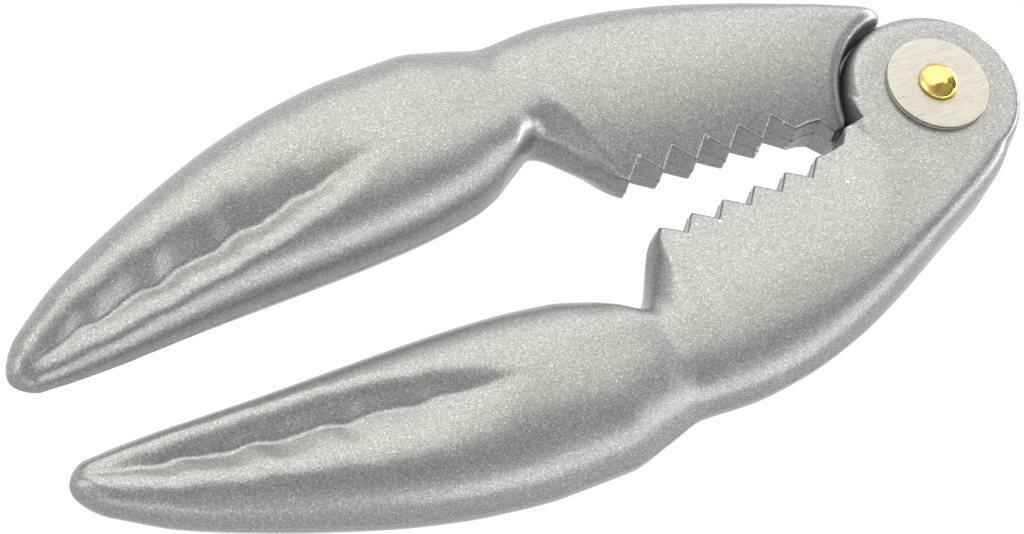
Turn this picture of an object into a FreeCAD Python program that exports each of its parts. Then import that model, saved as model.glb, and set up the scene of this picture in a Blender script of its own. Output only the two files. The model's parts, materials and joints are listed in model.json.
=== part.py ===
import FreeCAD, Part
import math
import os

# Claw-shaped nut and shellfish cracker. Two die-cast aluminium arms, one the other turned over,
# lie ear on ear on a brass rivet. Units are millimetres.
#
# Frame: the origin is on the pivot axis, in the plane of the table that the cracker lies on.
# +X runs from the handle tips to the pivot, +Y from the front arm to the rear arm, +Z is up.

Vector = FreeCAD.Vector

# Driving dimensions
MID_PLANE = 7.8            # height of the plane where the two ears meet
EAR_RADIUS = 13.0
EAR_THICKNESS = 5.75
EAR_EDGE_ROUND = 0.6
EAR_GAP = 0.1              # running gap between moving flat faces
SHOULDER_RADIUS = 13.55    # seat in each arm that the other arm's ear turns in
SHOULDER_END_X = 0.8       # where the shoulder stops, on the ear's outer side

RIVET_RADIUS = 2.5
BORE_RADIUS = 2.55
RIVET_HEAD_RADIUS = 2.95
RIVET_HEAD_RING = 0.35     # height of the straight ring under each head's dome
FRONT_HEAD_HEIGHT = 1.35
HEAD_FLAT_RADIUS = 1.9
DOME_BULGE = 0.68          # how far a head's rounded side swells, as a share of its corner

WASHER_RADIUS = 7.5
WASHER_HOLE_RADIUS = 2.65
WASHER_THICKNESS = 0.85
WASHER_EDGE_BREAK = 0.15

TIP_START_X = -137.4       # the round end of a handle begins here
TIP_LENGTH = 3.8

# Outline of one arm in plan: (x, distance out from the centre line)
OUTER_EDGE = [(-142, 11.0), (-137.4, 14.1), (-134, 16.4), (-130, 18.9), (-120, 23.5),
              (-110, 27.4), (-100, 30.7), (-90, 33.0), (-80, 34.3), (-70, 34.4), (-63, 32.9),
              (-56.5, 31.3), (-48, 31.7), (-40, 31.0), (-30, 28.7), (-20, 25.0), (-10, 20.5),
              (0, 16.0), (4, 13.9), (7, 11.4), (8.9, 9.2)]
INNER_EDGE = [(-142, 6.2), (-137.4, 5.8), (-130, 5.6), (-110, 6.3), (-90, 6.7), (-80, 7.2),
              (-70, 8.5), (-62, 11.0), (-57.6, 12.2), (-55, 10.5), (-50, 5.6), (-48, 3.5),
              (-45, 2.6), (-20, 1.2), (8.9, -1.0)]
# Half thickness of one arm along its length: (x, half thickness)
THICKNESS = [(-142, 2.6), (-137.4, 3.3), (-130, 4.9), (-115, 6.4), (-95, 7.4), (-80, 7.7),
             (-70, 7.4), (-58, 6.4), (-48, 6.2), (-30, 6.0), (-12, 5.75), (8.9, 5.75)]
# Squareness of the section along its length: 2 is an ellipse, more is fuller
FULLNESS = [(-137.4, 2.0), (-95, 2.2), (-58, 2.3), (-30, 2.5), (-12, 2.9), (8.9, 3.2)]

# The jaw: its front corner, the tooth tips and the notches between them
TOOTH_COUNT = 6
TOOTH_PITCH = 5.4
FIRST_TIP = (-48.4, 3.9)
LAST_TIP_OUT = 2.5
NOTCH_DEPTH = 2.6
NECK_CORNER = [(-50.0, 5.4), (-53.0, 8.4)]
STOP_POINTS = [(-19.2, 2.7), (-17.4, 2.5), (-15.8, 0.4), (-9.0, 0.3)]    # hollow, closed stop

SECTION_POINTS = 16           # steps across the upper half of a section
TIP_ANGLES = (76, 55, 30)     # degrees round the round end, sections at each
BODY_STATIONS = (-137.4, -134, -130, -124, -117, -110, -102, -94, -87, -80, -74, -69, -64.5,
                 -61, -58, -55.5, -53, -50.5, -48, -45, -38, -31, -24, -17, -10, -4, 1, 5, 8.9)
CUT_HEIGHT = 40.0             # taller and wider than anything it cuts


def smooth_value(knots, x):
    """Value at x of a smooth curve through the knots, with no overshoot between them."""
    slopes = []
    for (x0, v0), (x1, v1) in zip(knots, knots[1:]):
        slopes.append((v1 - v0) / (x1 - x0))
    tangents = [slopes[0]]
    for before, after in zip(slopes, slopes[1:]):
        same_way = before * after > 0
        tangents.append(2 * before * after / (before + after) if same_way else 0.0)
    tangents.append(slopes[-1])
    last = len(knots) - 2
    span = last
    for index in range(last + 1):
        if x <= knots[index + 1][0]:
            span = index
            break
    (x0, v0), (x1, v1) = knots[span], knots[span + 1]
    width = x1 - x0
    t = (x - x0) / width
    rise = (v1 - v0) * (3 - 2 * t) * t * t
    ease_out = width * tangents[span] * t * (1 - t) ** 2
    ease_in = width * tangents[span + 1] * t * t * (1 - t)
    return v0 + rise + ease_out - ease_in


def section_points(x, inner, outer, half_thickness, fullness):
    """Upper half of the front arm's section in the plane at x, from inner to outer edge."""
    centre = (inner + outer) / 2
    reach = (outer - inner) / 2
    points = []
    for index in range(SECTION_POINTS + 1):
        angle = math.pi * index / SECTION_POINTS
        across = -math.copysign(abs(math.cos(angle)) ** (2 / fullness), math.cos(angle))
        up = 0.0 if index in (0, SECTION_POINTS) else math.sin(angle) ** (2 / fullness)
        points.append(Vector(x, -(centre + reach * across), MID_PLANE + half_thickness * up))
    return points


def body_section(x, share=1.0):
    """Section at x; share shrinks it about its own centre."""
    inner = smooth_value(INNER_EDGE, x)
    outer = smooth_value(OUTER_EDGE, x)
    centre = (inner + outer) / 2
    reach = share * (outer - inner) / 2
    return section_points(x, centre - reach, centre + reach, share * smooth_value(THICKNESS, x),
                          smooth_value(FULLNESS, max(x, FULLNESS[0][0])))


def tip_section(angle_degrees):
    """Section through the round end, at an angle round it from its start to its nose."""
    angle = math.radians(angle_degrees)
    return body_section(TIP_START_X - TIP_LENGTH * math.sin(angle), math.cos(angle))


def arm_body():
    """The arm's whole form, from the round tip to inside the ear, before anything is cut."""
    sections = [tip_section(angle) for angle in TIP_ANGLES]
    sections += [body_section(x) for x in BODY_STATIONS]
    surface = Part.BSplineSurface()
    surface.interpolate(sections)
    upper = surface.toShape()
    lower = upper.mirror(Vector(0, 0, MID_PLANE), Vector(0, 0, 1))
    faces = [upper, lower]
    for end in (0.0, 1.0):
        faces.append(Part.Face(Part.Wire(end_edges(upper, end) + end_edges(lower, end))))
    shell = Part.makeShell(faces)
    shell.sewShape()
    body = Part.makeSolid(Part.Shell(shell.Faces))
    if body.Volume < 0:
        body.reverse()
    return body


def end_edges(half, end):
    """Edges of a half surface at its first (0) or last (1) section."""
    edges = []
    for edge in half.Edges:
        ends = [vertex.X for vertex in edge.Vertexes]
        if max(abs(value - section_x(end)) for value in ends) < 0.001:
            edges.append(edge)
    return edges


def section_x(end):
    if end == 1.0:
        return BODY_STATIONS[-1]
    return TIP_START_X - TIP_LENGTH * math.sin(math.radians(TIP_ANGLES[0]))


def jaw_line():
    """Inner edge of the front arm, from the neck along the teeth to the closed stop."""
    line = list(reversed(NECK_CORNER))
    tip_step = (LAST_TIP_OUT - FIRST_TIP[1]) / (TOOTH_COUNT - 1)
    for tooth in range(TOOTH_COUNT):
        tip_x = FIRST_TIP[0] + tooth * TOOTH_PITCH
        tip_out = FIRST_TIP[1] + tooth * tip_step
        line.append((tip_x, tip_out))
        if tooth < TOOTH_COUNT - 1:
            line.append((tip_x + TOOTH_PITCH / 2, tip_out + NOTCH_DEPTH))
    return line + STOP_POINTS


def jaw_cutter():
    """Everything that lies inward of the jaw line."""
    line = jaw_line()
    far_side = -EAR_RADIUS
    corners = [Vector(x, -out, 0) for x, out in line]
    corners.append(Vector(line[-1][0], -far_side, 0))
    corners.append(Vector(line[0][0], -far_side, 0))
    corners.append(corners[0])
    face = Part.Face(Part.makePolygon(corners))
    cutter = face.extrude(Vector(0, 0, CUT_HEIGHT))
    cutter.translate(Vector(0, 0, MID_PLANE - CUT_HEIGHT / 2))
    return cutter


def ear():
    disc = Part.makeCylinder(EAR_RADIUS, EAR_THICKNESS, Vector(0, 0, MID_PLANE))
    top = MID_PLANE + EAR_THICKNESS
    rim = [edge for edge in disc.Edges if edge.BoundBox.ZMin > top - 0.01]
    return disc.makeFillet(EAR_EDGE_ROUND, rim)


def lap_cutter():
    """Room in the arm's lower half for the other arm's ear, and the end of the shoulder."""
    depth = MID_PLANE + CUT_HEIGHT
    floor = Vector(0, 0, MID_PLANE + EAR_GAP / 2 - depth)
    seat = Part.makeCylinder(SHOULDER_RADIUS, depth, floor)
    beyond = Part.makeBox(CUT_HEIGHT, 2 * CUT_HEIGHT, depth,
                          Vector(SHOULDER_END_X, -CUT_HEIGHT, floor.z))
    return seat.fuse(beyond)


def make_front_arm():
    arm = arm_body().cut(jaw_cutter())
    arm = arm.fuse(ear())
    arm = arm.cut(lap_cutter())
    arm = arm.cut(Part.makeCylinder(BORE_RADIUS, CUT_HEIGHT, Vector(0, 0, 0)))
    return arm


def make_rear_arm(front_arm):
    """The same casting turned over about the centre line."""
    arm = front_arm.copy()
    arm.rotate(Vector(0, 0, MID_PLANE), Vector(1, 0, 0), 180)
    return arm


def make_washer(bottom):
    ring = Part.makeCylinder(WASHER_RADIUS, WASHER_THICKNESS, Vector(0, 0, bottom))
    outer_edges = [edge for edge in ring.Edges if len(edge.Vertexes) == 1]
    ring = ring.makeFillet(WASHER_EDGE_BREAK, outer_edges)
    return ring.cut(Part.makeCylinder(WASHER_HOLE_RADIUS, CUT_HEIGHT, Vector(0, 0, -1)))


def make_rivet(back_seat, front_seat):
    """Shank with a domed head over each washer; the back head's flat is the resting face."""
    top = front_seat + FRONT_HEAD_HEIGHT
    outline = [
        Part.makeLine(Vector(0, 0, 0), Vector(HEAD_FLAT_RADIUS, 0, 0)),
        dome_arc(0, back_seat - RIVET_HEAD_RING),
        Part.makeLine(Vector(RIVET_HEAD_RADIUS, 0, back_seat - RIVET_HEAD_RING),
                      Vector(RIVET_HEAD_RADIUS, 0, back_seat)),
        Part.makeLine(Vector(RIVET_HEAD_RADIUS, 0, back_seat), Vector(RIVET_RADIUS, 0, back_seat)),
        Part.makeLine(Vector(RIVET_RADIUS, 0, back_seat), Vector(RIVET_RADIUS, 0, front_seat)),
        Part.makeLine(Vector(RIVET_RADIUS, 0, front_seat),
                      Vector(RIVET_HEAD_RADIUS, 0, front_seat)),
        Part.makeLine(Vector(RIVET_HEAD_RADIUS, 0, front_seat),
                      Vector(RIVET_HEAD_RADIUS, 0, front_seat + RIVET_HEAD_RING)),
        dome_arc(top, front_seat + RIVET_HEAD_RING),
        Part.makeLine(Vector(HEAD_FLAT_RADIUS, 0, top), Vector(0, 0, top)),
        Part.makeLine(Vector(0, 0, top), Vector(0, 0, 0)),
    ]
    face = Part.Face(Part.Wire(Part.__sortEdges__(outline)))
    return face.revolve(Vector(0, 0, 0), Vector(0, 0, 1), 360)


def dome_arc(flat_height, ring_height):
    """Rounded side of a head, from the rim of its flat to the top of its ring."""
    start = Vector(HEAD_FLAT_RADIUS, 0, flat_height)
    end = Vector(RIVET_HEAD_RADIUS, 0, ring_height)
    bulge = Vector(start.x + DOME_BULGE * (end.x - start.x), 0,
                   ring_height + DOME_BULGE * (flat_height - ring_height))
    return Part.Arc(start, bulge, end).toShape()


def main():
    back_washer_top = MID_PLANE - EAR_THICKNESS - EAR_GAP
    back_seat = back_washer_top - WASHER_THICKNESS
    front_washer_bottom = MID_PLANE + EAR_THICKNESS
    front_seat = front_washer_bottom + WASHER_THICKNESS
    front_arm = make_front_arm()
    nodes = {
        "front_arm": front_arm,
        "rear_arm": make_rear_arm(front_arm),
        "pivot_rivet": make_rivet(back_seat, front_seat),
        "front_washer": make_washer(front_washer_bottom),
        "back_washer": make_washer(back_seat),
    }
    os.makedirs("parts", exist_ok=True)
    for name, shape in nodes.items():
        solid = shape.Solids[0]
        box = solid.BoundBox
        solid.exportStep("parts/" + name + ".step")
        print(name, len(shape.Solids), "solid, valid", solid.isValid(),
              "volume %.0f mm3" % solid.Volume,
              "x %.2f..%.2f y %.2f..%.2f z %.2f..%.2f" % (box.XMin, box.XMax, box.YMin, box.YMax,
                                                         box.ZMin, box.ZMax))


main()
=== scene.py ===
import json
import math

import bmesh
import bpy
import numpy as np
from mathutils import Matrix, Vector


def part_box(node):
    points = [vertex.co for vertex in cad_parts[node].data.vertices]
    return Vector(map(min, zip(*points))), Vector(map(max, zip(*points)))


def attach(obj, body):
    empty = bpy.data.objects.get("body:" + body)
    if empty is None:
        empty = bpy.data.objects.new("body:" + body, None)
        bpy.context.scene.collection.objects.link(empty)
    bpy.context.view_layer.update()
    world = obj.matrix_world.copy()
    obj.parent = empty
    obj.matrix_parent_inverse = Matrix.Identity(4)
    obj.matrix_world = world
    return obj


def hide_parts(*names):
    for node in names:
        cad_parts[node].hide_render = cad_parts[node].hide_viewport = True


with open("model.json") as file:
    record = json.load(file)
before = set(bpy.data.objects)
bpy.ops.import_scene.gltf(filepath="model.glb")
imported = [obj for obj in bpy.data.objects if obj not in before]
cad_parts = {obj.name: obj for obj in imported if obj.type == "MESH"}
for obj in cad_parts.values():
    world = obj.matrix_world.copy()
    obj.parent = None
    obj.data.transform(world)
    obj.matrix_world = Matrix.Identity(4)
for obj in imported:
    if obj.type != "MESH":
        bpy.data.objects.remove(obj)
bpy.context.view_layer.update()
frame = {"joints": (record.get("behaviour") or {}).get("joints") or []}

# A claw-shaped nut and shellfish cracker. The two die-cast arms are sculpted as one distance
# field in millimetres, meshed once, and laid in the frame twice, the second time turned over.
# In the casting's own space x runs towards the pivot, out is the distance outward from the
# centre line, and up is measured from the plane where the two ears meet.

MM = 0.001
PIVOT = frame["joints"][0]["pos_m"]
MID_PLANE = PIVOT[2] / MM

# ---- the casting's outline and thickness, as in the CAD part; each table is (x, value)
TIP_START_X = -137.4
TIP_LENGTH = 3.55          # of the round end
OUTER_EDGE = [(-142, 11.0), (-137.4, 14.1), (-134, 16.4), (-130, 18.9), (-120, 23.5), (-110, 27.4),
              (-100, 30.7), (-90, 33.0), (-80, 34.2), (-70, 34.3), (-63, 32.8), (-56.5, 31.3),
              (-48, 31.7), (-40, 31.0), (-30, 28.7), (-20, 25.0), (-10, 20.5), (0, 16.0),
              (4, 13.6), (7, 11.05), (9.2, 9.12)]
# This edge runs on inside the metal past the jaw, which is cut out of the solid afterwards.
INNER_EDGE = [(-142, 6.2), (-137.4, 5.8), (-130, 5.6), (-110, 6.3), (-90, 6.7), (-80, 7.2),
              (-70, 8.5), (-62, 11.0), (-58, 11.6), (-55, 9.0), (-51, 1.0), (-46, -5.0),
              (-12, -5.0), (9.2, -2.0)]
HALF_THICKNESS = [(-142, 2.6), (-137.4, 3.3), (-130, 4.9), (-115, 6.4), (-95, 7.3), (-80, 7.6),
                  (-70, 7.3), (-63, 6.7), (-57.5, 6.05), (-52, 6.1), (-30, 6.0), (-12, 5.75),
                  (9.2, 5.75)]
# The power of the section's rounding: 2 is an ellipse, and more is squarer
FULLNESS = [(-137.4, 2.0), (-95, 2.15), (-62, 2.2), (-50, 2.5), (-30, 2.6), (-12, 2.9),
            (9.2, 3.2)]
# How far the section's inner and outer rounding reach in from its edges
INNER_ROUND = [(-142, 2.4), (-137.4, 4.1), (-125, 7.4), (-110, 9.3), (-80, 11.2), (-68, 9.5),
               (-60, 6.5), (-55, 4.5), (-46, 5.0), (9.2, 5.0)]
OUTER_ROUND = [(-142, 2.4), (-137.4, 4.2), (-125, 9.0), (-110, 12.5), (-80, 15.7), (-68, 13.0),
               (-58, 9.5), (-46, 9.0), (-25, 5.8), (-8, 4.2), (9.2, 4.2)]

# ---- the waist between handle and jaw: a shallow valley across it, with a dimple in the valley
WAIST_X = -57.4
WAIST_DEPTH = 0.3
WAIST_REACH = 3.0
DIMPLE_X = -57.8
DIMPLE_OUT = 13.6
DIMPLE_DEPTH = 0.45
DIMPLE_REACH_X = 3.2
DIMPLE_REACH_OUT = 3.6

# ---- the jaw
TOOTH_COUNT = 6
TOOTH_PITCH = 5.4
FIRST_TIP = (-48.4, 3.9)
LAST_TIP_OUT = 2.5
NOTCH_DEPTH = 2.6
TOOTH_SOFTNESS = 0.16      # length over which a tooth's tip and notch are rounded off
NECK_EDGE = [(-75.0, 5.0), (-66.0, 9.2), (-60.5, 11.8), (-58.6, 12.5), (-56.8, 11.7),
             (-53.9, 8.9), (-51.0, 5.8)]
STOP_EDGE = [(-19.2, 2.7), (-17.4, 2.5), (-15.8, 0.4), (-9.0, 0.3)]
EDGE_END_X = 15.0
# The faces slope down to this half thickness along the jaw's edge and the tooth tips
RIM_HALF = [(-70, 16.0), (-62, 7.6), (-58, 4.8), (-53, 3.7), (-48.4, 2.6), (-10, 2.6)]
RIM_HALF_LEAST = 1.5
RIM_SLOPE = [(-62, 0.9), (-58, 0.8), (-53, 0.55), (-48.4, 0.33), (-10, 0.33)]
SLOPE_BLEND = 3.0
EAR_RAMP = [(-27, 0.0), (-23, 0.1), (-16, 2.6), (-12.5, 5.0)]     # on the side that has the ear
EAR_RAMP_REACH = 1.5       # round the ear the slope is filled up from this far outside it
# The jaw's faces fall away towards the outer edge, more steeply the further out
CROWN_FROM = 10.0
CROWN = [(-68, 0.0), (-58, 0.002), (-46, 0.004), (-25, 0.0055), (-14, 0.004), (-9, 0.0)]
DRAFT = 0.035
# How far the jaw's edges are rounded: crisp at the teeth, soft round the neck
EDGE_BLEND = [(-66, 0.4), (-60, 4.5), (-56, 8.0), (-52, 6.0), (-49.3, 1.4), (-47.5, 0.34),
              (-10, 0.34)]

# ---- the parting line that the mould leaves all round
PARTING_UP = 0.55
PARTING_PROUD = 0.15
PARTING_HALF_WIDTH = 0.28
HANDLE_SEAM_PROUD = 0.1
HANDLE_SEAM_FROM = 0.8     # how far through the rounding the handle's seam begins; 1 is the edge
HANDLE_SEAM_FADE = 0.2

# ---- the half-lap joint
EAR_RADIUS = 13.0
EAR_ROUND_REACH = 1.5
EAR_SIDE_BLEND = 0.12
EAR_GAP = 0.1
SHOULDER_RADIUS = 13.55
SHOULDER_END_X = 0.8
SHOULDER_END_HALF = 3.7    # the shoulder thins to this at its end
SHOULDER_END_SLOPE = 0.55
SHOULDER_TOP_BLEND = 1.2
SHOULDER_CORNER_BLEND = 2.2
SEAT_EDGE_BLEND = 1.9
BORE_RADIUS = 2.7
BORE_EDGE_BLEND = 0.2

# ---- the groove along each face of the handle, as between two fingers of a claw: a long slope
# comes down to it from the outer finger, and a shorter one from the inner finger
GROOVE_LINE = [(-142, 7.6), (-139, 8.3), (-136, 9.2), (-131, 10.4), (-126, 11.5), (-121, 12.5),
               (-116, 13.4), (-111, 14.2), (-106, 15.0), (-101, 15.75), (-96, 16.6), (-91, 17.5),
               (-86, 18.4), (-80, 19.4), (-70, 21.2)]
# Depth below the handle's full thickness; where it is negative the groove has run out
GROOVE_DEPTH = [(-142, -1.4), (-139.5, -0.1), (-136, 1.2), (-131, 2.3), (-126, 2.9), (-121, 3.2),
                (-116, 3.3), (-111, 3.2), (-106, 3.0), (-101, 2.7), (-96, 2.3), (-91, 1.7),
                (-87, 1.0), (-84, 0.1), (-80, -1.2), (-76, -2.6)]
GROOVE_OUTER_SLOPE = [(-140, 0.5), (-126, 0.66), (-116, 0.64), (-106, 0.52), (-96, 0.42),
                      (-86, 0.34), (-78, 0.3)]
GROOVE_OUTER_CURL = [(-140, 0.02), (-126, 0.02), (-111, 0.016), (-96, 0.018), (-78, 0.025)]
GROOVE_INNER_SLOPE = [(-140, 0.4), (-131, 0.52), (-111, 0.56), (-96, 0.6), (-86, 0.56),
                      (-78, 0.45)]
GROOVE_LINE_ROUND = 0.25
GROOVE_RIM_BLEND = 1.5
# The inner finger stands lower than the outer one towards the tip
INNER_FINGER_DROP = [(-142, 0.2), (-136, 0.7), (-131, 1.0), (-126, 1.0), (-121, 0.8),
                     (-116, 0.6), (-111, 0.3), (-104, 0.05), (-98, 0.0)]
INNER_FINGER_FADE = 2.0
# The groove's line is wavy, and its outer slope swells and sinks with the wave
WAVE_FROM_X = -136
WAVE_TO_X = -86
WAVE_FADE = 8
WAVE_PITCH = 8.6
WAVE_START = -128.0
WAVE_SWAY = 0.27
WAVE_SWELL = 0.065
WAVE_SWELL_REACH = 1.5
SECOND_WAVE_SHARE = 0.35
SECOND_WAVE_RATE = 1.7
SECOND_WAVE_START = 1.0

# ---- rivet and washers
SPOKES = 144               # points in each ring of a turned piece
HEAD_RADIUS = 2.93
HEAD_FOOT = 0.3            # straight foot of a rivet head
HEAD_RINGS = 25
HEAD_CROWN_TRIM = 0.02
DOME_POWER = 2.3           # the dome's section is (1 - share ** DOME_POWER) ** DOME_FLATNESS
DOME_FLATNESS = 0.6
SHANK_RADIUS = 2.5
# Hammer flats on a peened head: direction and lean in degrees, and the height where the flat
# would cross the axis, as a share of the head's height
FLATS = [(95, 4, 0.99), (185, 8, 0.99), (300, 8, 1.0), (30, 15, 1.07), (245, 19, 1.12)]
FLAT_BLEND = 0.12
WASHER_HOLE_RADIUS = 2.62
WASHER_OUTER_TRIM = 0.01
PUNCHED_EDGE = 0.1         # rounding of the top edges
PUNCHED_STEPS = 6
BOTTOM_BREAK = 0.05
# The burr line where the metal sheared: heights over the bottom, and how deep it is
BURR_HEIGHTS = (0.3, 0.35, 0.41, 0.46)
BURR_DEPTH = 0.08
WASHER_FACE_RINGS = 6


def smooth_values(knots, x):
    """Values at the array x of a smooth curve through the knots, with no overshoot."""
    places = np.array([knot[0] for knot in knots], float)
    levels = np.array([knot[1] for knot in knots], float)
    slopes = np.diff(levels) / np.diff(places)
    before, after = slopes[:-1], slopes[1:]
    same_way = before * after > 0
    total = np.where(same_way, before + after, 1.0)
    inner = np.where(same_way, 2 * before * after / total, 0.0)
    tangents = np.concatenate([slopes[:1], inner, slopes[-1:]])
    x = np.clip(x, places[0], places[-1])
    span = np.clip(np.searchsorted(places, x) - 1, 0, len(slopes) - 1)
    width = np.diff(places)[span]
    t = (x - places[span]) / width
    rise = (levels[span + 1] - levels[span]) * (3 - 2 * t) * t * t
    ease_out = width * tangents[span] * t * (1 - t) ** 2
    ease_in = width * tangents[span + 1] * t * t * (1 - t)
    return levels[span] + rise + ease_out - ease_in


def smooth_max(a, b, blend):
    """The larger of two fields, with the edge between them rounded over that width."""
    near = np.maximum(blend - np.abs(a - b), 0.0) / blend
    return np.maximum(a, b) + near * near * blend / 4


def smooth_min(a, b, blend):
    return -smooth_max(-a, -b, blend)


def tip_line(x):
    """How far out the line through the tooth tips lies."""
    slope = (LAST_TIP_OUT - FIRST_TIP[1]) / ((TOOTH_COUNT - 1) * TOOTH_PITCH)
    return FIRST_TIP[1] + slope * (x - FIRST_TIP[0])


def jaw_corners():
    """The toothed edge as straight runs between tips and notches, then the closed stop."""
    corners = []
    for tooth in range(TOOTH_COUNT):
        tip_x = FIRST_TIP[0] + tooth * TOOTH_PITCH
        tip_out = tip_line(tip_x)
        corners.append((tip_x, tip_out))
        if tooth < TOOTH_COUNT - 1:
            corners.append((tip_x + TOOTH_PITCH / 2, tip_out + NOTCH_DEPTH))
    return corners + STOP_EDGE


def running_mean(values, half):
    window = np.ones(2 * half + 1) / (2 * half + 1)
    return np.convolve(np.pad(values, half, mode="edge"), window, mode="valid")


def jaw_edge_table():
    """Samples of the inner edge from neck to pivot, and of the rim, a line through its tips.

    Each comes with the cosine of its slope, which turns a distance out into a square one.
    """
    spacing = 0.02
    slope_half, rim_slope_half, rim_half = 40, 150, 80      # samples that are averaged each way
    places = np.arange(NECK_EDGE[0][0], EDGE_END_X, spacing)
    corners = jaw_corners()
    teeth = np.interp(places, [c[0] for c in corners], [c[1] for c in corners])
    neck = smooth_values(NECK_EDGE + [FIRST_TIP], places)
    rim = np.where(places < FIRST_TIP[0], neck, tip_line(places))
    outs = np.where(places < FIRST_TIP[0], neck, teeth)
    outs = running_mean(outs, int(TOOTH_SOFTNESS / spacing / 2))
    edge_slope = running_mean(np.abs(np.gradient(outs, places)), slope_half)
    rim_slope = running_mean(np.abs(np.gradient(rim, places)), rim_slope_half)
    rim = running_mean(rim, rim_half)
    return places, outs, 1 / np.sqrt(1 + edge_slope ** 2), rim, 1 / np.sqrt(1 + rim_slope ** 2)


EDGE_X, EDGE_OUT, EDGE_COSINE, RIM_OUT, RIM_COSINE = jaw_edge_table()


def groove_across(x, out):
    """Distance outward from the groove's wavy line, and the wave at each place."""
    turn = (x - WAVE_START) * 2 * math.pi / WAVE_PITCH
    wave = np.sin(turn) + SECOND_WAVE_SHARE * np.sin(SECOND_WAVE_RATE * turn + SECOND_WAVE_START)
    fade_in = np.clip((x - WAVE_FROM_X) / WAVE_FADE, 0, 1)
    fade_out = np.clip((WAVE_TO_X - x) / WAVE_FADE, 0, 1)
    wave = wave * fade_in * fade_out
    return out - smooth_values(GROOVE_LINE, x) + WAVE_SWAY * wave, wave


def groove_floor(x, out):
    """How high above the parting plane the groove's two sides stand at each place."""
    across, wave = groove_across(x, out)
    away = np.sqrt(across ** 2 + GROOVE_LINE_ROUND ** 2) - GROOVE_LINE_ROUND
    outer_side = smooth_values(GROOVE_OUTER_SLOPE, x) * away
    outer_side = outer_side - smooth_values(GROOVE_OUTER_CURL, x) * away ** 2
    outer_side = outer_side + WAVE_SWELL * wave * away * np.exp(-away / WAVE_SWELL_REACH)
    inner_side = smooth_values(GROOVE_INNER_SLOPE, x) * away
    lowest = smooth_values(HALF_THICKNESS, x) - smooth_values(GROOVE_DEPTH, x)
    return lowest + np.where(across < 0, inner_side, outer_side)


def waist_depth(x, out):
    """How far a face sinks at the waist: a valley across it, deepest beside the inner corner."""
    valley = WAIST_DEPTH * np.exp(-((x - WAIST_X) / WAIST_REACH) ** 2)
    along = (x - DIMPLE_X) / DIMPLE_REACH_X
    across = (out - DIMPLE_OUT) / DIMPLE_REACH_OUT
    return valley + DIMPLE_DEPTH * np.exp(-along ** 2 - across ** 2)


def face_height(x, out, up, from_pivot):
    """Half thickness of the metal at each place, with the faces' slopes and hollows."""
    inward = np.clip(0.5 - groove_across(x, out)[0] / INNER_FINGER_FADE, 0, 1)
    drop = smooth_values(INNER_FINGER_DROP, x) * (3 - 2 * inward) * inward ** 2
    crown = smooth_values(CROWN, x) * np.maximum(out - CROWN_FROM, 0) ** 2
    height = smooth_values(HALF_THICKNESS, x) - waist_depth(x, out) - drop - crown
    inside_rim = (out - np.interp(x, EDGE_X, RIM_OUT)) * np.interp(x, EDGE_X, RIM_COSINE)
    sloped = smooth_values(RIM_HALF, x) + smooth_values(RIM_SLOPE, x) * inside_rim
    on_ear_side = np.clip(up + 0.5, 0, 1)
    sloped = sloped + on_ear_side * smooth_values(EAR_RAMP, x)
    sloped = sloped + np.maximum(EAR_RADIUS + EAR_RAMP_REACH - from_pivot, 0)
    return smooth_min(height, np.maximum(sloped, RIM_HALF_LEAST), SLOPE_BLEND)


def casting_field(x, out, up):
    """Signed distance, roughly, from the casting's surface; negative inside the metal."""
    # side runs from 0 in the middle of the section to 1 at its edge
    inner = smooth_values(INNER_EDGE, x)
    outer = smooth_values(OUTER_EDGE, x)
    from_inner = np.maximum(1 - (out - inner) / smooth_values(INNER_ROUND, x), 0)
    from_outer = np.maximum(1 - (outer - out) / smooth_values(OUTER_ROUND, x), 0)
    side = from_inner + from_outer
    tip = np.maximum(TIP_START_X - x, 0) / TIP_LENGTH
    side = np.sqrt(side ** 2 + tip ** 2) + np.maximum(x - OUTER_EDGE[-1][0], 0)
    from_pivot = np.sqrt(x ** 2 + out ** 2)
    ear_side = np.maximum(1 - (EAR_RADIUS - from_pivot) / EAR_ROUND_REACH, 0)
    side = np.maximum(smooth_min(side, ear_side, EAR_SIDE_BLEND), 0)

    # the domed section, the groove and the handle's seam
    half = face_height(x, out, up, from_pivot)
    power = smooth_values(FULLNESS, x)
    height = np.abs(up) / half
    barely = 1e-9              # keeps the root away from zero
    field = ((side ** power + height ** power + barely) ** (1 / power) - 1) * half
    field = smooth_max(field, np.abs(up) - groove_floor(x, out), GROOVE_RIM_BLEND)
    seam = np.clip(1 - np.abs(up - PARTING_UP) / PARTING_HALF_WIDTH, 0, 1)
    on_edge = np.clip((side - HANDLE_SEAM_FROM) / HANDLE_SEAM_FADE, 0, 1)
    field = field - HANDLE_SEAM_PROUD * seam * on_edge

    # the toothed edge, with its draft and its seam
    edge = np.interp(x, EDGE_X, EDGE_OUT)
    past_edge = edge + DRAFT * np.abs(up - PARTING_UP) - PARTING_PROUD * seam - out
    past_edge = past_edge * np.interp(x, EDGE_X, EDGE_COSINE)
    jaw_open = np.minimum(past_edge, from_pivot - EAR_RADIUS)
    field = smooth_max(field, jaw_open, smooth_values(EDGE_BLEND, x))

    # the shoulder, the seat cut for the other arm's ear, and the bore
    shoulder_top = SHOULDER_END_HALF + SHOULDER_END_SLOPE * np.maximum(SHOULDER_END_X - x, 0)
    field = smooth_max(field, -up - shoulder_top, SHOULDER_TOP_BLEND)
    seat = from_pivot - SHOULDER_RADIUS
    cut = np.maximum(smooth_min(seat, SHOULDER_END_X - x, SHOULDER_CORNER_BLEND), up - EAR_GAP / 2)
    field = smooth_max(field, -cut, SEAT_EDGE_BLEND)
    return smooth_max(field, BORE_RADIUS - from_pivot, BORE_EDGE_BLEND)


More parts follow.
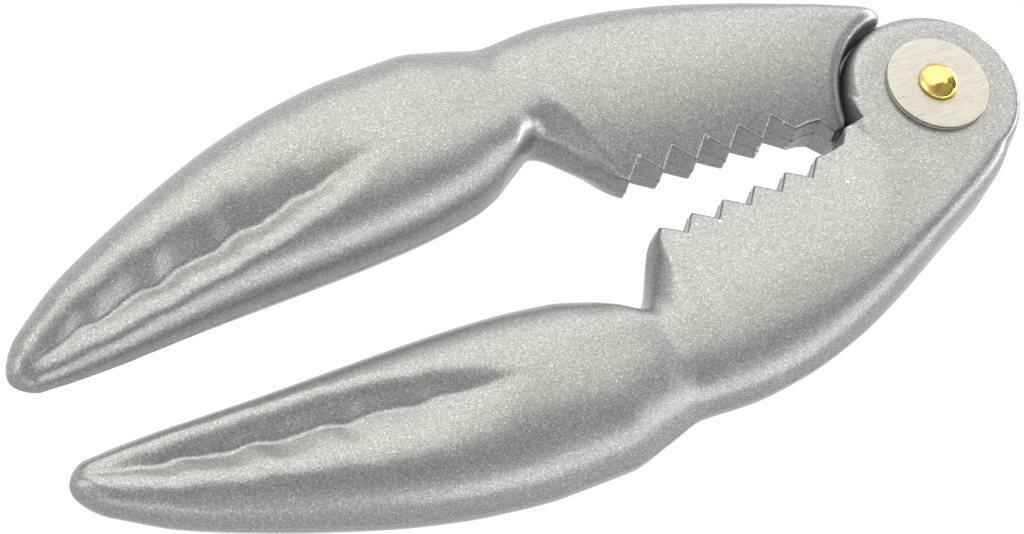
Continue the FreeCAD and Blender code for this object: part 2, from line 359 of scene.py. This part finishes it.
def axis_samples(stops):
    """Grid lines from (place, spacing) stops; the spacing changes smoothly between them."""
    lines = [stops[0][0]]
    while lines[-1] < stops[-1][0]:
        spacing = np.interp(lines[-1], [s[0] for s in stops], [s[1] for s in stops])
        lines.append(lines[-1] + spacing)
    return np.array(lines)


def surface_net(field, lines):
    """Points and quads of the zero surface of a field sampled on a grid of unevenly spaced lines.

    Each grid cell that the surface crosses gets a point, at the mean of the crossings on its
    edges, and each crossed edge gets a quad between the four cells round it.
    """
    cells = tuple(n - 1 for n in field.shape)
    total = cells[0] * cells[1] * cells[2]
    sums = np.zeros((total, 3))
    counts = np.zeros(total)
    crossings = []
    for axis in range(3):
        low = [slice(None)] * 3
        high = [slice(None)] * 3
        low[axis] = slice(None, -1)
        high[axis] = slice(1, None)
        start = field[tuple(low)]
        end = field[tuple(high)]
        where = np.argwhere((start < 0) != (end < 0))
        first = start[tuple(where.T)]
        last = end[tuple(where.T)]
        place = np.stack([lines[k][where[:, k]] for k in range(3)], axis=1)
        step = lines[axis][where[:, axis] + 1] - lines[axis][where[:, axis]]
        place[:, axis] += step * first / (first - last)
        others = [(axis + 1) % 3, (axis + 2) % 3]
        inside = np.ones(len(where), bool)
        for other in others:
            inside &= (where[:, other] > 0) & (where[:, other] < cells[other])
        where, place, rising = where[inside], place[inside], (first < 0)[inside]
        corners = []
        for back_a, back_b in ((1, 1), (0, 1), (0, 0), (1, 0)):
            cell = where.copy()
            cell[:, others[0]] -= back_a
            cell[:, others[1]] -= back_b
            index = np.ravel_multi_index(tuple(cell.T), cells)
            corners.append(index)
            for k in range(3):
                sums[:, k] += np.bincount(index, place[:, k], total)
            counts += np.bincount(index, minlength=total)
        quads = np.stack(corners, axis=1)
        quads[~rising] = quads[~rising][:, ::-1]
        crossings.append(quads)
    used = counts > 0
    number = np.cumsum(used) - 1
    points = sums[used] / counts[used][:, None]
    return points, number[np.concatenate(crossings)]


def settle_points(points, rounds=2):
    """Moves each point along the field's slope onto the zero surface."""
    nudge = 0.02
    gentlest = 0.05            # least squared slope that is trusted
    longest = 0.15             # longest move in one round
    for _ in range(rounds):
        level = casting_field(*points.T)
        slope = np.empty_like(points)
        for axis in range(3):
            ahead = points.copy()
            behind = points.copy()
            ahead[:, axis] += nudge
            behind[:, axis] -= nudge
            slope[:, axis] = (casting_field(*ahead.T) - casting_field(*behind.T)) / (2 * nudge)
        steepness = np.maximum((slope ** 2).sum(axis=1), gentlest)
        move = -(level / steepness)[:, None] * slope
        length = np.sqrt((move ** 2).sum(axis=1))[:, None]
        points = points + move * (longest / np.maximum(length, longest))
    return points


def sculpt_casting():
    """Points, in mm, and quads of one arm; the grid is finest at the teeth and the parting line."""
    x_lines = axis_samples([(-142.5, 0.45), (-125, 0.71), (-66, 0.71), (-56, 0.32), (-49, 0.19),
                            (-14, 0.19), (6, 0.38), (13.6, 0.45)])
    out_lines = axis_samples([(-13.4, 0.45), (-1.5, 0.3), (0.0, 0.2), (7.0, 0.2), (13, 0.52),
                              (35.6, 0.52)])
    up_lines = axis_samples([(-8.6, 0.45), (-3.0, 0.35), (0.0, 0.25), (1.2, 0.2), (3.0, 0.35),
                             (8.8, 0.45)])
    lines = (x_lines, out_lines, up_lines)
    values = casting_field(x_lines[:, None, None], out_lines[None, :, None],
                           up_lines[None, None, :])
    points, quads = surface_net(values, lines)
    return settle_points(points), quads


def new_piece(name, points, faces, body, material, replaced):
    """A smooth-shaded piece that rides on body in place of a CAD node; points are in metres."""
    mesh = bpy.data.meshes.new(name)
    mesh.from_pydata(points.tolist(), [], faces)
    mesh.validate()
    mesh.polygons.foreach_set("use_smooth", [True] * len(mesh.polygons))
    mesh.materials.append(material)
    mesh.update()
    piece = bpy.data.objects.new(name, mesh)
    bpy.context.collection.objects.link(piece)
    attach(piece, body)
    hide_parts(replaced)


def make_arms(material):
    """Both arms from one casting; the rear one is the front one turned over about the x axis."""
    points, quads = sculpt_casting()
    x, out, up = points.T
    # one axis is reversed in each, so the faces are too
    front = np.stack([x, -out, MID_PLANE + up], axis=1) * MM
    rear = np.stack([x, out, MID_PLANE - up], axis=1) * MM
    outward = quads[:, ::-1].tolist()
    new_piece("front_arm_cast", front, outward, "front_half", material,
              "front_arm")
    new_piece("rear_arm_cast", rear, outward, "rear_half", material,
              "rear_arm")


# ---------------------------------------------------------------- rivet and washers
def ring_points(rings):
    """Points of rings about the pivot; a ring is a radius and a height, or one height a spoke."""
    angles = np.arange(SPOKES) * 2 * math.pi / SPOKES
    points = []
    for radius, height in rings:
        height = np.broadcast_to(height, SPOKES)
        points += list(zip(radius * np.cos(angles), radius * np.sin(angles), height))
    return points


def ring_faces(first, second):
    """Quads between two rings, given their numbers; they face outward as the rings go up."""
    faces = []
    for spoke in range(SPOKES):
        after = (spoke + 1) % SPOKES
        faces.append((first * SPOKES + spoke, first * SPOKES + after,
                      second * SPOKES + after, second * SPOKES + spoke))
    return faces


def cap_faces(ring, centre, upward):
    """Triangles from a ring to the point numbered centre."""
    faces = []
    for spoke in range(SPOKES):
        start = ring * SPOKES + spoke
        end = ring * SPOKES + (spoke + 1) % SPOKES
        faces.append((start, end, centre) if upward else (end, start, centre))
    return faces


def head_height(radius, angles, height):
    """Height of a peened dome over its seat, with its hammer flats cut in."""
    share = min(radius / HEAD_RADIUS, 1.0)
    rise = (height - HEAD_FOOT) * (1 - share ** DOME_POWER) ** DOME_FLATNESS
    dome = np.full(SPOKES, HEAD_FOOT + rise)
    for direction, lean, crossing in FLATS:
        along = radius * np.cos(angles - math.radians(direction))
        flat = crossing * height - along * math.tan(math.radians(lean))
        dome = smooth_min(dome, flat, FLAT_BLEND)
    return np.clip(dome, 0.0, height)


def head_rings(seat, height, towards):
    """Rings from a head's foot to its crown; towards is +1 for the front head, -1 for the back."""
    angles = np.arange(SPOKES) * 2 * math.pi / SPOKES
    rings = [(HEAD_RADIUS, seat)]
    for turn in np.linspace(0.0, math.pi / 2, HEAD_RINGS + 1)[:-1]:
        radius = HEAD_RADIUS * math.cos(turn)
        rings.append((radius, seat + towards * head_height(radius, angles, height)))
    return rings


def make_rivet(material):
    """A rivet with a peened head on each washer; its ends are those of the CAD rivet."""
    low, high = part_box("pivot_rivet")
    low_end = low[2] / MM
    high_end = high[2] / MM
    front_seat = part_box("front_washer")[1][2] / MM
    back_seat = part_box("back_washer")[0][2] / MM
    rings = head_rings(back_seat, back_seat - low_end, -1)[::-1]
    rings += [(SHANK_RADIUS, back_seat), (SHANK_RADIUS, front_seat)]
    rings += head_rings(front_seat, high_end - front_seat, 1)
    points = ring_points(rings)
    points += [(0.0, 0.0, low_end), (0.0, 0.0, high_end - HEAD_CROWN_TRIM)]
    faces = []
    for ring in range(len(rings) - 1):
        faces += ring_faces(ring, ring + 1)
    faces += cap_faces(0, len(points) - 2, False)
    faces += cap_faces(len(rings) - 1, len(points) - 1, True)
    new_piece("rivet_peened", np.array(points) * MM, faces, "front_half", material,
              "pivot_rivet")


def washer_edge(radius, side, bottom, top):
    """A washer's edge from bottom to top; side is +1 at the hole and -1 at the rim."""
    cut = radius + side * BURR_DEPTH
    edge = [(radius + side * BOTTOM_BREAK, bottom), (radius, bottom + BOTTOM_BREAK)]
    for place, height in zip((radius, cut, cut, radius), BURR_HEIGHTS):
        edge.append((place, bottom + height))
    for turn in np.linspace(0, math.pi / 2, PUNCHED_STEPS + 1):
        inset = PUNCHED_EDGE * (1 - math.cos(turn))
        edge.append((radius + side * inset, top - PUNCHED_EDGE * (1 - math.sin(turn))))
    return edge


def make_washer(name, material, replaced):
    """A punched washer: top edges rounded by the punch, and a burr line round each side."""
    low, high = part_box(replaced)
    bottom = low[2] / MM
    top = high[2] / MM
    hole = washer_edge(WASHER_HOLE_RADIUS, 1, bottom, top)
    rim = washer_edge(high[0] / MM - WASHER_OUTER_TRIM, -1, bottom, top)
    face = np.linspace(hole[-1][0], rim[-1][0], WASHER_FACE_RINGS + 2)[1:-1]
    rings = rim + [(radius, top) for radius in face[::-1]] + hole[::-1]
    faces = []
    for ring in range(len(rings)):
        faces += ring_faces(ring, (ring + 1) % len(rings))
    new_piece(name, np.array(ring_points(rings)) * MM, faces, "front_half", material,
              replaced)


# ---------------------------------------------------------------- materials
def shader_material(name):
    """A new material with a Principled shader, and what is needed to add to it."""
    material = bpy.data.materials.new(name)
    material.use_nodes = True
    nodes = material.node_tree.nodes
    nodes.clear()
    output = nodes.new("ShaderNodeOutputMaterial")
    shader = nodes.new("ShaderNodeBsdfPrincipled")
    material.node_tree.links.new(shader.outputs["BSDF"], output.inputs["Surface"])
    return material, nodes, material.node_tree.links, shader


def object_place(nodes):
    """Places in metres that stay with the piece as it moves."""
    return nodes.new("ShaderNodeTexCoord").outputs["Object"]


def noise(nodes, links, place, scale, detail, roughness=0.5):
    """Cloudy noise from 0 to 1, with about scale clouds to the metre."""
    node = nodes.new("ShaderNodeTexNoise")
    node.inputs["Scale"].default_value = scale
    node.inputs["Detail"].default_value = detail
    node.inputs["Roughness"].default_value = roughness
    links.new(place, node.inputs["Vector"])
    return node.outputs["Fac"]


def ramp(nodes, links, value, stops):
    """A colour ramp; a stop is its place and a colour, or one number for a grey."""
    node = nodes.new("ShaderNodeValToRGB")
    elements = node.color_ramp.elements
    while len(elements) < len(stops):
        elements.new(0.5)
    for element, (position, colour) in zip(elements, stops):
        element.position = position
        element.color = (*np.broadcast_to(colour, 3), 1)
    links.new(value, node.inputs["Fac"])
    return node.outputs["Color"]


def mixed(nodes, links, blend_type, share, first, second):
    """The first colour with the second laid over it in that blend type, by that share."""
    node = nodes.new("ShaderNodeMix")
    node.data_type = "RGBA"
    node.blend_type = blend_type
    node.inputs["Factor"].default_value = share
    links.new(first, node.inputs["A"])
    links.new(second, node.inputs["B"])
    return node.outputs["Result"]


def fade(nodes, links, value, none, full):
    """0 where the value is at none, 1 where it is at full, and even steps between."""
    node = nodes.new("ShaderNodeMapRange")
    links.new(value, node.inputs["Value"])
    node.inputs["From Min"].default_value = none
    node.inputs["From Max"].default_value = full
    return node.outputs["Result"]


def magnitude(nodes, links, value):
    """The value without its sign."""
    node = nodes.new("ShaderNodeMath")
    node.operation = "ABSOLUTE"
    links.new(value, node.inputs[0])
    return node.outputs["Value"]


def axes(nodes, links, vector):
    """The three parts of a vector, by name."""
    node = nodes.new("ShaderNodeSeparateXYZ")
    links.new(vector, node.inputs["Vector"])
    return node.outputs


def bump(nodes, links, shader, height, distance, strength, before=None):
    """Bumps distance metres high on a shader, on top of the bumps before, if there are any."""
    node = nodes.new("ShaderNodeBump")
    node.inputs["Distance"].default_value = distance
    node.inputs["Strength"].default_value = strength
    links.new(height, node.inputs["Height"])
    if before is not None:
        links.new(before, node.inputs["Normal"])
    links.new(node.outputs["Normal"], shader.inputs["Normal"])
    return node.outputs["Normal"]


FLAKES_PER_METRE = 7200
# The painted edge highlights are on the jaw and the ear, and fade out between these places, in
# metres
EDGE_HIGHLIGHT_FROM_X = (-0.053, -0.05)
EDGE_HIGHLIGHT_TO_Y = (0.015, 0.0135)


def silver_paint():
    """Silver metallic paint: flakes under two tenths of a millimetre across in a satin coat."""
    material, nodes, links, shader = shader_material("silver_paint")
    place = object_place(nodes)
    flakes = nodes.new("ShaderNodeTexVoronoi")
    flakes.inputs["Scale"].default_value = FLAKES_PER_METRE
    links.new(place, flakes.inputs["Vector"])
    split = nodes.new("ShaderNodeSeparateColor")
    links.new(flakes.outputs["Color"], split.inputs["Color"])
    colour = ramp(nodes, links, split.outputs["Red"],
                  [(0.0, (0.18, 0.185, 0.18)), (0.3, (0.25, 0.255, 0.243)),
                   (0.75, (0.31, 0.312, 0.30)), (0.94, (0.36, 0.36, 0.35)),
                   (1.0, (0.55, 0.55, 0.54))])
    geometry = nodes.new("ShaderNodeNewGeometry")
    # painted shade: steep side walls are darkened, and tinted a little blue, in the paint's colour
    facing = axes(nodes, links, geometry.outputs["Normal"])
    painted_wall_shade = ramp(nodes, links, magnitude(nodes, links, facing["Z"]),
                [(0.15, (0.8, 0.81, 0.84)), (0.6, 1.0)])
    colour = mixed(nodes, links, "MULTIPLY", 1.0, colour, painted_wall_shade)
    # painted highlight: the sharp edges of the teeth and the ear are made brighter in the paint's
    # colour
    edges = ramp(nodes, links, geometry.outputs["Pointiness"], [(0.54, 0.0), (0.62, 1.0)])
    spot = axes(nodes, links, place)
    on_jaw = fade(nodes, links, spot["X"], *EDGE_HIGHLIGHT_FROM_X)
    near_teeth = fade(nodes, links, magnitude(nodes, links, spot["Y"]), *EDGE_HIGHLIGHT_TO_Y)
    painted_edge_highlight = mixed(nodes, links, "MULTIPLY", 1.0, edges, on_jaw)
    painted_edge_highlight = mixed(nodes, links, "MULTIPLY", 1.0, painted_edge_highlight, near_teeth)
    colour = mixed(nodes, links, "ADD", 0.3, colour, painted_edge_highlight)
    links.new(colour, shader.inputs["Base Color"])
    shader.inputs["Metallic"].default_value = 0.8
    cloud = noise(nodes, links, place, 140, 3.0)
    rough = ramp(nodes, links, cloud, [(0.3, 0.36), (0.7, 0.42)])
    links.new(rough, shader.inputs["Roughness"])
    shader.inputs["Coat Weight"].default_value = 0.5
    shader.inputs["Coat Roughness"].default_value = 0.16
    grain = noise(nodes, links, place, 4200, 2.0)
    waves = noise(nodes, links, place, 600, 2.0)
    first = bump(nodes, links, shader, grain, 0.00004, 0.55)
    bump(nodes, links, shader, waves, 0.00005, 0.25, first)
    return material


def washer_steel():
    """Nickel-plated steel, warm and pale, with fine rolling scratches all one way."""
    material, nodes, links, shader = shader_material("washer_nickel")
    place = object_place(nodes)
    tone = noise(nodes, links, place, 420, 4.0, 0.65)
    colour = ramp(nodes, links, tone, [(0.25, (0.425, 0.405, 0.355)), (0.75, (0.47, 0.45, 0.40))])
    shader.inputs["Metallic"].default_value = 1.0
    stretch = nodes.new("ShaderNodeMapping")
    stretch.inputs["Rotation"].default_value = (0, 0, 0.9)
    stretch.inputs["Scale"].default_value = (1, 16, 1)
    links.new(place, stretch.inputs["Vector"])
    scratches = noise(nodes, links, stretch.outputs["Vector"], 520, 4.0, 0.75)
    marks = ramp(nodes, links, scratches, [(0.36, 0.76), (0.5, 1.0), (0.66, 1.08)])
    colour = mixed(nodes, links, "MULTIPLY", 1.0, colour, marks)
    links.new(colour, shader.inputs["Base Color"])
    rough = ramp(nodes, links, scratches, [(0.3, 0.28), (0.7, 0.44)])
    links.new(rough, shader.inputs["Roughness"])
    bump(nodes, links, shader, scratches, 0.00006, 0.8)
    return material


def rivet_brass():
    """Polished brass, dulled a little and dented in places by peening."""
    material, nodes, links, shader = shader_material("rivet_brass")
    place = object_place(nodes)
    tone = noise(nodes, links, place, 700, 2.0)
    colour = ramp(nodes, links, tone, [(0.3, (0.72, 0.48, 0.11)), (0.7, (0.88, 0.65, 0.22))])
    links.new(colour, shader.inputs["Base Color"])
    shader.inputs["Metallic"].default_value = 1.0
    rough = ramp(nodes, links, tone, [(0.3, 0.1), (0.7, 0.19)])
    links.new(rough, shader.inputs["Roughness"])
    dents = noise(nodes, links, place, 1100, 1.0)
    bump(nodes, links, shader, dents, 0.00012, 0.4)
    return material


def floor_material():
    """A light table: white, and lit from below so strongly that shadows don't show."""
    material, nodes, links, shader = shader_material("pale_floor")
    place = object_place(nodes)
    tone = noise(nodes, links, place, 6, 2.0)
    colour = ramp(nodes, links, tone, [(0.0, 0.08), (1.0, 0.1)])
    links.new(colour, shader.inputs["Base Color"])
    shader.inputs["Roughness"].default_value = 0.9
    shader.inputs["Specular IOR Level"].default_value = 0.1
    shader.inputs["Emission Color"].default_value = (1, 1, 1, 1)
    shader.inputs["Emission Strength"].default_value = 0.97
    return material


# ---------------------------------------------------------------- studio
CAMERA_PLACE = (-0.33825, -0.22397, 0.50197)
CAMERA_TARGET = (-0.0698, -0.0009, 0.0078)
CAMERA_ROLL = 24.19        # degrees
CAMERA_LENS = 158.2        # mm
FLOOR_HALF = 3.0
OBJECT_CENTRE = Vector((-0.065, 0.0, 0.008))
# Name, direction from the object, distance, size in metres, power in watts and colour
LIGHTS = [
    ("back_softbox", (0.35, 0.60, 0.72), 1.3, (1.5, 1.5), 13.0, (1.0, 0.99, 0.95)),
    ("front_strip", (0.52, -0.82, 0.6), 1.2, (1.5, 0.55), 7.6, (0.96, 0.93, 1.0)),
    ("front_left_strip", (-0.5, -0.8, 0.28), 1.2, (0.8, 0.2), 1.3, (0.96, 0.95, 1.0)),
    ("left_softbox", (-0.75, 0.35, 0.5), 1.2, (0.9, 0.9), 4.0, (1.0, 1.0, 1.0)),
    ("right_strip", (0.95, 0.05, 0.14), 1.2, (1.2, 0.3), 9.0, (0.97, 0.97, 1.0)),
]


def make_camera():
    data = bpy.data.cameras.new("photo_camera")
    data.sensor_width = 36
    data.lens = CAMERA_LENS
    data.clip_start = 0.01
    data.clip_end = 20
    camera = bpy.data.objects.new("photo_camera", data)
    bpy.context.collection.objects.link(camera)
    place = Vector(CAMERA_PLACE)
    look = (Vector(CAMERA_TARGET) - place).to_track_quat("-Z", "Y")
    roll = Matrix.Rotation(math.radians(CAMERA_ROLL), 4, "Z")
    camera.matrix_world = Matrix.Translation(place) @ look.to_matrix().to_4x4() @ roll
    bpy.context.scene.camera = camera


def area_light(name, direction, distance, size, power, colour):
    """A rectangular light that faces the object from that direction."""
    data = bpy.data.lights.new(name, "AREA")
    data.shape = "RECTANGLE"
    data.size, data.size_y = size
    data.energy = power
    data.color = colour
    lamp = bpy.data.objects.new(name, data)
    bpy.context.collection.objects.link(lamp)
    towards = Vector(direction).normalized()
    place = OBJECT_CENTRE + towards * distance
    lamp.location = place
    lamp.rotation_mode = "QUATERNION"
    lamp.rotation_quaternion = (OBJECT_CENTRE - place).to_track_quat("-Z", "Y")


def make_floor():
    mesh = bpy.data.meshes.new("floor")
    build = bmesh.new()
    bmesh.ops.create_grid(build, x_segments=8, y_segments=8, size=FLOOR_HALF)
    build.to_mesh(mesh)
    build.free()
    mesh.materials.append(floor_material())
    floor = bpy.data.objects.new("floor", mesh)
    bpy.context.collection.objects.link(floor)


def make_world():
    """A white studio: bright all round the horizon, and overhead brighter to the back left."""
    world = bpy.data.worlds.new("studio")
    world.use_nodes = True
    nodes = world.node_tree.nodes
    links = world.node_tree.links
    direction = nodes.new("ShaderNodeTexCoord").outputs["Generated"]
    to_window = nodes.new("ShaderNodeVectorMath")
    to_window.operation = "DOT_PRODUCT"
    links.new(direction, to_window.inputs[0])
    to_window.inputs[1].default_value = (-0.8, 0.6, 0.0)
    overhead = nodes.new("ShaderNodeMapRange")
    links.new(to_window.outputs["Value"], overhead.inputs["Value"])
    overhead.inputs["From Min"].default_value = -0.6
    overhead.inputs["From Max"].default_value = 0.45
    overhead.inputs["To Min"].default_value = 0.22
    overhead.inputs["To Max"].default_value = 1.0
    # by how high a direction points, the horizon's white takes over from the overhead light
    horizon = ramp(nodes, links, axes(nodes, links, direction)["Z"],
                   [(0.0, 0.8), (0.16, 0.7), (0.42, 0.0)])
    mix = nodes.new("ShaderNodeMix")
    mix.data_type = "RGBA"
    links.new(horizon, mix.inputs["Factor"])
    links.new(overhead.outputs["Result"], mix.inputs["A"])
    mix.inputs["B"].default_value = (1.0, 1.0, 1.0, 1.0)
    links.new(mix.outputs["Result"], nodes["Background"].inputs["Color"])
    nodes["Background"].inputs["Strength"].default_value = 1.0
    bpy.context.scene.world = world


bpy.context.scene.view_settings.view_transform = "Standard"
make_camera()
make_floor()
make_world()
for light in LIGHTS:
    area_light(*light)
make_arms(silver_paint())
make_rivet(rivet_brass())
washer_metal = washer_steel()
make_washer("washer_front", washer_metal, "front_washer")
make_washer("washer_back", washer_metal, "back_washer")
